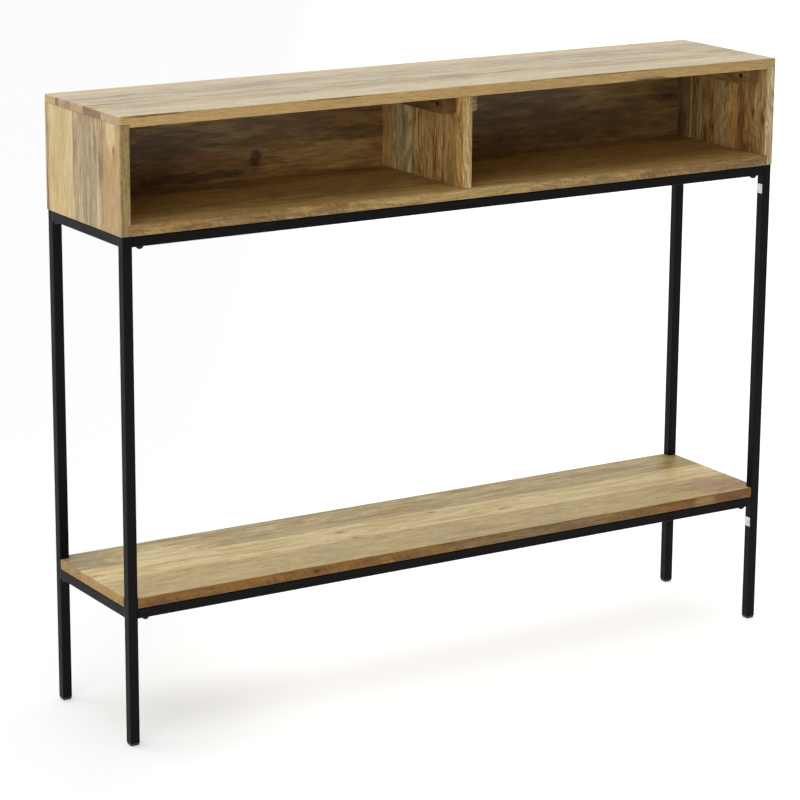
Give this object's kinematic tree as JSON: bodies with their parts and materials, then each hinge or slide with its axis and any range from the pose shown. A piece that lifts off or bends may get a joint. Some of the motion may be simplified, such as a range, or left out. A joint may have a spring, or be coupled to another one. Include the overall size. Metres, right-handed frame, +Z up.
{
  "type": "console table",
  "caption": "Narrow console table: a wooden box with open niches on a slim square-tube steel frame, with a notched wooden shelf near the floor.",
  "frame": {"origin": "on the floor at the centre of the footprint", "axes": "+Z up, +X along the table, +Y towards its closed back, so the niches open towards -Y"},
  "size_m": [1.15, 0.24, 0.925],
  "materials": {
    "solid_wood": "satin lacquered mango-like hardwood boards",
    "dowel_wood": "plain dry hardwood",
    "frame_steel": "satin black powder coat",
    "bolt_steel": "black coated steel",
    "screw_steel": "dull zinc",
    "insert_steel": "zinc plated",
    "foot_plastic": "moulded black plastic",
    "label_paper": "matte white paper"
  },
  "bodies": {
    "root": {"back_left_foot": "foot_plastic", "back_left_leg": "frame_steel", "back_lower_rail": "frame_steel", "back_panel": "solid_wood", "back_panel_dowels": "dowel_wood", "back_right_foot": "foot_plastic", "back_right_leg": "frame_steel", "back_top_rail": "frame_steel", "box_bolts": "bolt_steel", "box_bottom_panel": "solid_wood", "box_inserts": "insert_steel", "centre_divider": "solid_wood", "cleat_side_screws": "screw_steel", "cleat_top_screws": "screw_steel", "divider_dowels": "dowel_wood", "divider_left_cleat": "solid_wood", "divider_right_cleat": "solid_wood", "front_left_foot": "foot_plastic", "front_left_leg": "frame_steel", "front_lower_rail": "frame_steel", "front_right_foot": "foot_plastic", "front_right_leg": "frame_steel", "front_top_rail": "frame_steel", "left_frame_welds": "frame_steel", "left_lower_rail": "frame_steel", "left_panel_cleat": "solid_wood", "left_rail_stubs": "frame_steel", "left_side_panel": "solid_wood", "left_top_rail": "frame_steel", "part_labels": "label_paper", "right_frame_welds": "frame_steel", "right_lower_rail": "frame_steel", "right_panel_cleat": "solid_wood", "right_rail_stubs": "frame_steel", "right_side_panel": "solid_wood", "right_top_rail": "frame_steel", "shelf_board": "solid_wood", "shelf_bolts": "bolt_steel", "shelf_inserts": "insert_steel", "top_panel": "solid_wood"}
  },
  "joints": []
}
